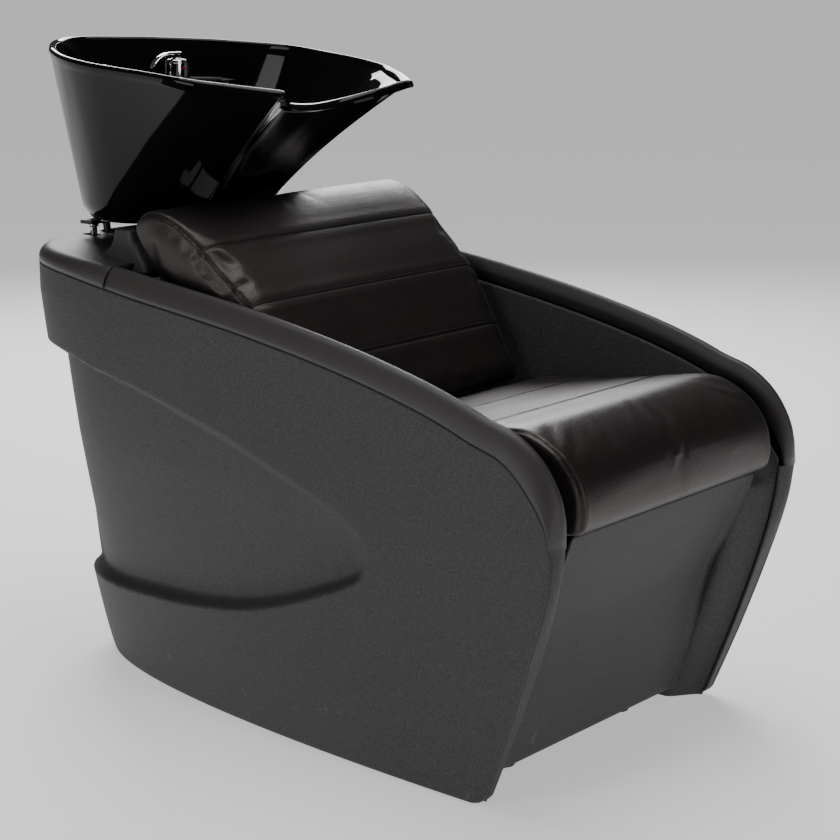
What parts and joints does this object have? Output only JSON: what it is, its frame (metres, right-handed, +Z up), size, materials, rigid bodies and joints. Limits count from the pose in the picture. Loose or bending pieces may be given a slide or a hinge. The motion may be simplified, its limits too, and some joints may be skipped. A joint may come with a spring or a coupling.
{
  "type": "shampoo backwash unit",
  "caption": "Salon armchair with moulded shells, a padded seat and back, and a tilting ceramic wash basin with a mixer tap behind the headrest notch.",
  "frame": {"origin": "on the floor, at the centre of the footprint box of the whole unit", "axes": "+Z up; the sitter faces -Y and the basin is towards +Y; +X is to the sitter's left"},
  "size_m": [0.65, 1.253, 1.021],
  "materials": {
    "shell_plastic": "grained, matt",
    "cap_plastic": "fine satin",
    "upholstery": "satin, stitched",
    "plywood": "raw",
    "frame_steel": "powder coated, black",
    "foot_rubber": "matt",
    "basin_glaze": "glossy black glaze",
    "chrome_trim": "polished",
    "waste_plastic": "matt",
    "hose_plastic": "ribbed",
    "hose_metal": "braided",
    "brass": "machined",
    "red_dot": "gloss",
    "black_screw": "black oxide"
  },
  "bodies": {
    "root": {"backrest_board": "plywood", "backrest_cushion": "upholstery", "basin_column": "frame_steel", "cold_inlet": "brass", "cold_supply_hose": "hose_metal", "front_cross_rail": "frame_steel", "front_fascia": "shell_plastic", "hot_inlet": "brass", "hot_supply_hose": "hose_metal", "left_arm_cap": "cap_plastic", "left_back_strut": "frame_steel", "left_floor_rail": "frame_steel", "left_front_foot": "foot_rubber", "left_front_post": "frame_steel", "left_inner_panel": "shell_plastic", "left_mount_cheek": "cap_plastic", "left_rear_foot": "foot_rubber", "left_rear_post": "frame_steel", "left_seat_bearer": "frame_steel", "left_side_shell": "shell_plastic", "lower_left_screw": "black_screw", "lower_right_screw": "black_screw", "pivot_yoke": "frame_steel", "rear_access_panel": "shell_plastic", "rear_cross_rail": "frame_steel", "rear_deck": "cap_plastic", "right_arm_cap": "cap_plastic", "right_back_strut": "frame_steel", "right_floor_rail": "frame_steel", "right_front_foot": "foot_rubber", "right_front_post": "frame_steel", "right_inner_panel": "shell_plastic", "right_mount_cheek": "cap_plastic", "right_rear_foot": "foot_rubber", "right_rear_post": "frame_steel", "right_seat_bearer": "frame_steel", "right_side_shell": "shell_plastic", "seat_board": "plywood", "seat_cushion": "upholstery", "shower_hose": "hose_metal", "upper_left_screw": "black_screw", "upper_right_screw": "black_screw", "waste_hose": "hose_plastic", "waste_spigot": "waste_plastic"},
    "tilting_basin": {"basin": "basin_glaze", "basin_saddle": "frame_steel", "pivot_pin": "frame_steel", "pivot_pin_nut": "frame_steel", "right_stay_rod": "chrome_trim", "left_stay_rod": "chrome_trim", "waste_outlet": "chrome_trim", "waste_nut": "waste_plastic", "mixer_body": "chrome_trim", "temperature_dot": "red_dot", "shower_socket": "chrome_trim"},
    "strainer": {"hair_strainer": "chrome_trim"},
    "mixer_cap": {"mixer_cap": "chrome_trim"},
    "mixer_lever": {"mixer_lever": "chrome_trim"},
    "hand_shower": {"hand_shower": "chrome_trim"}
  },
  "joints": [
    {"name": "basin_tilt", "type": "hinge", "parent": "root", "child": "tilting_basin", "pos_m": [0, 0.325, 0.69], "axis": [-1, 0, 0], "range_deg": [-7, 7], "deforming": ["waste_hose", "shower_hose", "hot_supply_hose", "cold_supply_hose"]},
    {"name": "lever_turn", "type": "hinge", "parent": "tilting_basin", "child": "mixer_cap", "pos_m": [0.106, 0.492, 0.985], "axis": [0, 0, 1], "range_deg": [-40, 40]},
    {"name": "lever_lift", "type": "hinge", "parent": "mixer_cap", "child": "mixer_lever", "pos_m": [0.106, 0.492, 0.99], "axis": [0, 1, 0], "range_deg": [0, 22]},
    {"name": "shower_pull", "type": "slide", "parent": "tilting_basin", "child": "hand_shower", "axis": [0, 0, 1], "range_m": [0, 0.06], "deforming": ["shower_hose"]},
    {"name": "strainer_lift", "type": "slide", "parent": "tilting_basin", "child": "strainer", "axis": [0, 0, 1], "range_m": [0, 0.03]}
  ]
}
